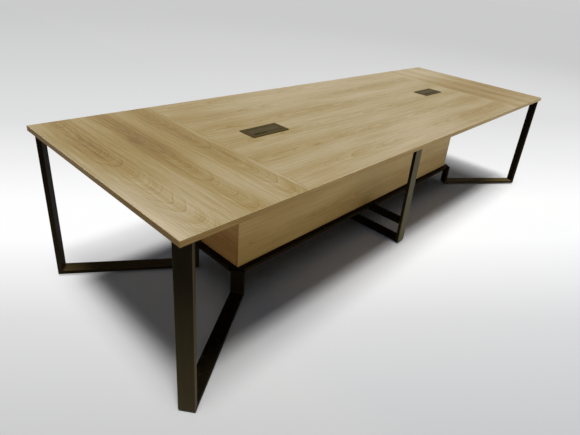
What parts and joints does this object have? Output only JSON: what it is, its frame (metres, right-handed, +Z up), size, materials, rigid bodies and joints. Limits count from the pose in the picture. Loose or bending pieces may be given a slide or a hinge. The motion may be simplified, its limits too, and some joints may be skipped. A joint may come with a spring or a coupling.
{
  "type": "conference table",
  "caption": "Long rectangular wooden conference table on a boxed cable trunk and flat steel tube frames, with flap-lid power modules in the top and levelling glides below.",
  "frame": {"origin": "on the floor under the middle of the top", "axes": "+X along the table's length from the left end to the right end, +Y from the near long side to the far one, +Z up"},
  "size_m": [3.24, 1.13, 0.7533],
  "materials": {
    "top_wood": "satin",
    "trunk_wood": "satin",
    "edge_band": "satin",
    "frame_steel": "satin",
    "bezel_metal": "satin",
    "tray_steel": "matte",
    "glide_plastic": "matte",
    "socket_plastic": "matte",
    "pin_steel": "polished"
  },
  "bodies": {
    "table": {"top_panel_left": "top_wood", "top_panel_centre": "top_wood", "top_panel_right": "top_wood", "edge_band_left": "edge_band", "edge_band_right": "edge_band", "edge_band_near": "edge_band", "edge_band_far": "edge_band", "seam_plate_near_left": "frame_steel", "seam_plate_near_right": "frame_steel", "seam_plate_far_left": "frame_steel", "seam_plate_far_right": "frame_steel", "trunk_side_near": "trunk_wood", "trunk_side_far": "trunk_wood", "trunk_end_left": "trunk_wood", "trunk_end_right": "trunk_wood", "trunk_floor": "trunk_wood", "base_rail_near": "frame_steel", "base_rail_far": "frame_steel", "base_rail_left": "frame_steel", "base_rail_right": "frame_steel", "base_rail_mid": "frame_steel", "leg_near_left": "frame_steel", "floor_rail_near_left": "frame_steel", "post_near_left": "frame_steel", "leg_near_right": "frame_steel", "floor_rail_near_right": "frame_steel", "post_near_right": "frame_steel", "leg_far_left": "frame_steel", "floor_rail_far_left": "frame_steel", "post_far_left": "frame_steel", "leg_far_right": "frame_steel", "floor_rail_far_right": "frame_steel", "post_far_right": "frame_steel", "leg_mid_near": "frame_steel", "leg_mid_far": "frame_steel", "floor_rail_mid": "frame_steel", "stretcher_near": "frame_steel", "stretcher_far": "frame_steel", "power_bezel_left": "bezel_metal", "power_hinge_pin_left": "pin_steel", "power_tray_left": "tray_steel", "power_sockets_left": "socket_plastic", "power_bezel_right": "bezel_metal", "power_hinge_pin_right": "pin_steel", "power_tray_right": "tray_steel", "power_sockets_right": "socket_plastic"},
    "lid_left": {"power_lid_left": "bezel_metal"},
    "lid_right": {"power_lid_right": "bezel_metal"},
    "glide_outer_near_left": {"glide_outer_near_left": "glide_plastic"},
    "glide_inner_near_left": {"glide_inner_near_left": "glide_plastic"},
    "glide_outer_near_right": {"glide_outer_near_right": "glide_plastic"},
    "glide_inner_near_right": {"glide_inner_near_right": "glide_plastic"},
    "glide_outer_far_left": {"glide_outer_far_left": "glide_plastic"},
    "glide_inner_far_left": {"glide_inner_far_left": "glide_plastic"},
    "glide_outer_far_right": {"glide_outer_far_right": "glide_plastic"},
    "glide_inner_far_right": {"glide_inner_far_right": "glide_plastic"},
    "glide_mid_near": {"glide_mid_near": "glide_plastic"},
    "glide_mid_far": {"glide_mid_far": "glide_plastic"}
  },
  "joints": [
    {"name": "lid_left_hinge", "type": "hinge", "parent": "table", "child": "lid_left", "pos_m": [-0.795, 0.0325, 0.7503], "axis": [-1, 0, 0], "range_deg": [0, 95]},
    {"name": "lid_right_hinge", "type": "hinge", "parent": "table", "child": "lid_right", "pos_m": [0.795, 0.0325, 0.7503], "axis": [-1, 0, 0], "range_deg": [0, 95]},
    {"name": "glide_outer_near_left_screw", "type": "slide", "parent": "table", "child": "glide_outer_near_left", "axis": [0, 0, -1], "range_m": [0, 0.01]},
    {"name": "glide_inner_near_left_screw", "type": "slide", "parent": "table", "child": "glide_inner_near_left", "axis": [0, 0, -1], "range_m": [0, 0.01]},
    {"name": "glide_outer_near_right_screw", "type": "slide", "parent": "table", "child": "glide_outer_near_right", "axis": [0, 0, -1], "range_m": [0, 0.01]},
    {"name": "glide_inner_near_right_screw", "type": "slide", "parent": "table", "child": "glide_inner_near_right", "axis": [0, 0, -1], "range_m": [0, 0.01]},
    {"name": "glide_outer_far_left_screw", "type": "slide", "parent": "table", "child": "glide_outer_far_left", "axis": [0, 0, -1], "range_m": [0, 0.01]},
    {"name": "glide_inner_far_left_screw", "type": "slide", "parent": "table", "child": "glide_inner_far_left", "axis": [0, 0, -1], "range_m": [0, 0.01]},
    {"name": "glide_outer_far_right_screw", "type": "slide", "parent": "table", "child": "glide_outer_far_right", "axis": [0, 0, -1], "range_m": [0, 0.01]},
    {"name": "glide_inner_far_right_screw", "type": "slide", "parent": "table", "child": "glide_inner_far_right", "axis": [0, 0, -1], "range_m": [0, 0.01]},
    {"name": "glide_mid_near_screw", "type": "slide", "parent": "table", "child": "glide_mid_near", "axis": [0, 0, -1], "range_m": [0, 0.01]},
    {"name": "glide_mid_far_screw", "type": "slide", "parent": "table", "child": "glide_mid_far", "axis": [0, 0, -1], "range_m": [0, 0.01]}
  ]
}
